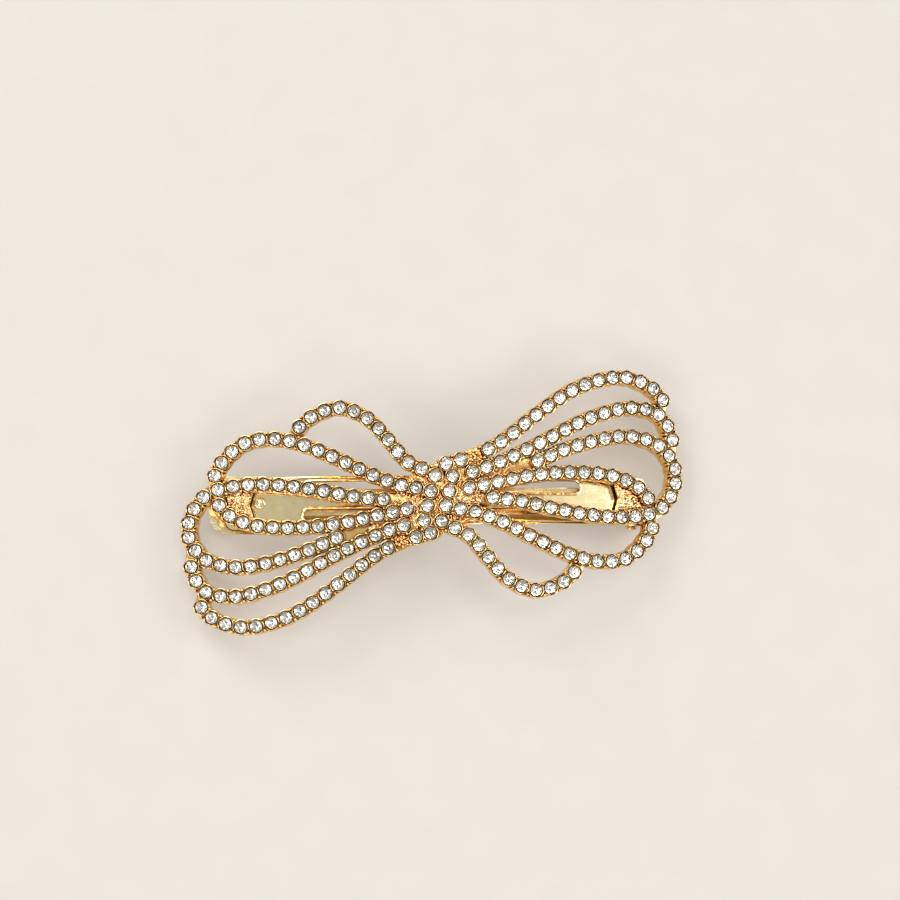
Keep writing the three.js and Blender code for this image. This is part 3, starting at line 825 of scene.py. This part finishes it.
def build_plate_trim():
    """The rolled lips round the plate's slots and along its two long edges."""
    bm = bmesh.new()
    half_width_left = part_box("base_plate")[1].y / MM
    for side in (-1, 1):
        add_tube(bm, slot_rim_places(side), RIM_RADIUS, closed=True)
        edge = []
        for i in range(BEAD_STEPS + 1):
            x = BEAD_LEFT + (BEAD_RIGHT - BEAD_LEFT) * i / BEAD_STEPS
            half_width = half_width_left - PLATE_TAPER * (x - PLATE_LEFT) / (PLATE_RIGHT - PLATE_LEFT)
            edge.append((x, side * (half_width - EDGE_RADIUS), -EDGE_DROP))
        add_tube(bm, edge, EDGE_RADIUS, closed=False)
    trim = new_piece("plate_trim", bm, [SHEET])


def build_rivet():
    """The latch rivet, with a low domed head and a dimple left by the tool at each end."""
    low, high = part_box("latch_rivet")
    centre = (low + high) / 2
    normal = Vector((-math.sin(RIVET_LEAN), 0, math.cos(RIVET_LEAN)))
    side = normal.cross(Vector((0, 1, 0)))
    half = (high.z - low.z) / 2 / MM - RIVET_HEAD
    profile = [(0.0, half - 0.24), (0.28, half - 0.21), (0.44, half - 0.14), (0.82, half - 0.16),
               (1.05, half - 0.24), (1.13, half - 0.33), (0.70, half - RIVET_HEAD)]
    profile += [(radius, -height) for radius, height in reversed(profile)]
    bm = bmesh.new()
    sections = []
    for radius, height in profile:
        ring = []
        for i in range(RIVET_SEGMENTS):
            angle = 2 * math.pi * i / RIVET_SEGMENTS
            outward = side * math.cos(angle) + Vector((0, 1, 0)) * math.sin(angle)
            ring.append(centre + (outward * max(radius, 0.02) + normal * height) * MM)
        sections.append(ring)
    loft(bm, sections)
    rivet = new_piece("rivet", bm, [SHEET])
    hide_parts("latch_rivet")


def dress_node(node, material, bevel=0.12, angle=35):
    """A better finish on a CAD node: its material and softened edges."""
    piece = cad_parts[node]
    for slot in piece.material_slots:
        slot.material = material
    rounding = piece.modifiers.new("soft_edges", "BEVEL")
    rounding.width = bevel * MM
    rounding.segments = 2
    rounding.limit_method = "ANGLE"
    rounding.angle_limit = math.radians(angle)


def dress_barrette():
    """Trim, rivet and finish for the barrette under the bow."""
    build_plate_trim()
    build_rivet()
    for node in ("base_plate", "clasp_arm", "hinge_pin"):
        dress_node(node, SHEET)
    for node in ("tension_strip", "latch_bracket", "latch_prong_front", "latch_prong_back"):
        dress_node(node, SPRING, bevel=0.06)
    for node in ("solder_left", "solder_right", "solder_knot"):
        dress_node(node, SOLDER, bevel=0.1)


# ---------- studio ----------

FRAME_WIDTH = 0.1642
CAMERA_DISTANCE = 0.62
SOFTBOX_DISTANCE = 0.68
SENSOR = 36
LOOK_FROM = Vector((-0.105, -0.12, 1)).normalized()
OBJECT_SHIFT = (-0.0020, -0.0087)
ROLL = math.radians(-0.9)
FLOOR_SIZE = 0.6
FLOOR_GLOW = 0.32
GLOW_COLOUR = (1.0, 0.93, 0.84, 1)
WORLD_STRENGTH = 0.58

# Each soft light: its direction from the object, its size, its radiance and its colour.
SOFTBOXES = {
    "right": ((0.83, -0.10, 0.52), (0.35, 0.36), 5.0, (1.0, 0.97, 0.92)),
    "back_left": ((-0.45, 0.65, 0.62), (0.40, 0.35), 4.6, (1.0, 0.97, 0.93)),
    "overhead": ((0.14, 0.26, 0.95), (0.22, 0.22), 4.0, (1.0, 1.0, 0.98)),
    "front": ((0.05, -0.72, 0.69), (0.45, 0.18), 3.2, (1.0, 0.95, 0.88)),
    "front_left": ((-0.62, -0.35, 0.70), (0.22, 0.30), 4.0, (1.0, 0.97, 0.92)),
    "upper_right": ((0.64, 0.12, 0.76), (0.26, 0.26), 0.42, (1.0, 0.98, 0.92)),
    "left": ((-0.85, -0.10, 0.52), (0.18, 0.45), 2.6, (1.0, 0.96, 0.90)),
}

# The studio's brightness from straight down to straight up: a dark band at the
# horizon, bright walls, and a duller ceiling behind the camera.
STUDIO_BANDS = [(0.50, 0.10), (0.60, 0.14), (0.70, 0.60), (0.80, 1.0), (0.94, 1.0), (1.0, 0.85)]


def build_camera():
    """Looks almost straight down; the object's centre lies left of and below the frame's centre."""
    data = bpy.data.cameras.new("camera")
    data.sensor_width = SENSOR
    data.lens = SENSOR * CAMERA_DISTANCE / FRAME_WIDTH
    data.clip_start = 0.01
    camera = bpy.data.objects.new("camera", data)
    bpy.context.collection.objects.link(camera)
    low, high = cad_box
    target = Vector(((low[0] + high[0]) / 2, (low[1] + high[1]) / 2, high[2]))
    right = Vector((0, 1, 0)).cross(LOOK_FROM).normalized()
    right.rotate(Quaternion(LOOK_FROM, ROLL))
    up = LOOK_FROM.cross(right)
    turn = Matrix((right, up, LOOK_FROM)).transposed()
    aim = target - right * OBJECT_SHIFT[0] - up * OBJECT_SHIFT[1]
    camera.matrix_world = Matrix.Translation(aim + LOOK_FROM * CAMERA_DISTANCE) @ turn.to_4x4()
    bpy.context.scene.camera = camera


def softbox(name, direction, size, radiance, colour):
    """A soft light at the studio's distance, turned to the object."""
    data = bpy.data.lights.new(name, "AREA")
    data.shape = "RECTANGLE"
    data.size, data.size_y = size
    data.energy = math.pi * size[0] * size[1] * radiance
    data.color = colour
    light = bpy.data.objects.new(name, data)
    towards = Vector(direction).normalized()
    light.location = towards * SOFTBOX_DISTANCE
    light.rotation_euler = towards.to_track_quat("Z", "Y").to_euler()
    bpy.context.collection.objects.link(light)


def build_studio():
    """A pale floor that glows faintly, as a light table does, under soft lights."""
    bm = bmesh.new()
    bmesh.ops.create_grid(bm, x_segments=4, y_segments=4, size=FLOOR_SIZE)
    mesh = bpy.data.meshes.new("floor")
    bm.to_mesh(mesh)
    bm.free()
    floor = bpy.data.objects.new("floor", mesh)
    bpy.context.collection.objects.link(floor)
    look = Shader("floor").set(Roughness=0.7, Emission_Color=GLOW_COLOUR, Emission_Strength=FLOOR_GLOW)
    look.feed(look.ramp(look.noise(120), (0.36, 0.35, 0.335, 1), (0.38, 0.37, 0.355, 1)), "Base Color")
    mesh.materials.append(look.material)

    bpy.context.scene.world = studio_world()
    bpy.context.scene.view_settings.view_transform = "Standard"
    for name, (direction, size, radiance, colour) in SOFTBOXES.items():
        softbox(name, direction, size, radiance, colour)


def studio_world():
    """Light from all round, brighter or duller by its height."""
    world = bpy.data.worlds.new("studio")
    world.use_nodes = True
    tree = world.node_tree
    background = next(n for n in tree.nodes if n.type == "BACKGROUND")
    direction = tree.nodes.new("ShaderNodeTexCoord").outputs["Generated"]
    axes = tree.nodes.new("ShaderNodeSeparateXYZ")
    tree.links.new(direction, axes.inputs["Vector"])
    raised = tree.nodes.new("ShaderNodeMath")
    raised.operation = "MULTIPLY_ADD"
    raised.inputs[1].default_value = 0.5
    raised.inputs[2].default_value = 0.5
    tree.links.new(axes.outputs["Z"], raised.inputs[0])
    bands = tree.nodes.new("ShaderNodeValToRGB")
    tree.links.new(raised.outputs["Value"], bands.inputs["Fac"])
    while len(bands.color_ramp.elements) < len(STUDIO_BANDS):
        bands.color_ramp.elements.new(0.5)
    for stop, (position, grey) in zip(bands.color_ramp.elements, STUDIO_BANDS):
        stop.position = position
        stop.color = (grey, 0.975 * grey, 0.92 * grey, 1)
    tree.links.new(bands.outputs["Color"], background.inputs["Color"])
    background.inputs["Strength"].default_value = WORLD_STRENGTH
    return world


build_camera()
build_casting()
build_stones()
dress_barrette()
build_studio()

bpy.context.view_layer.update()
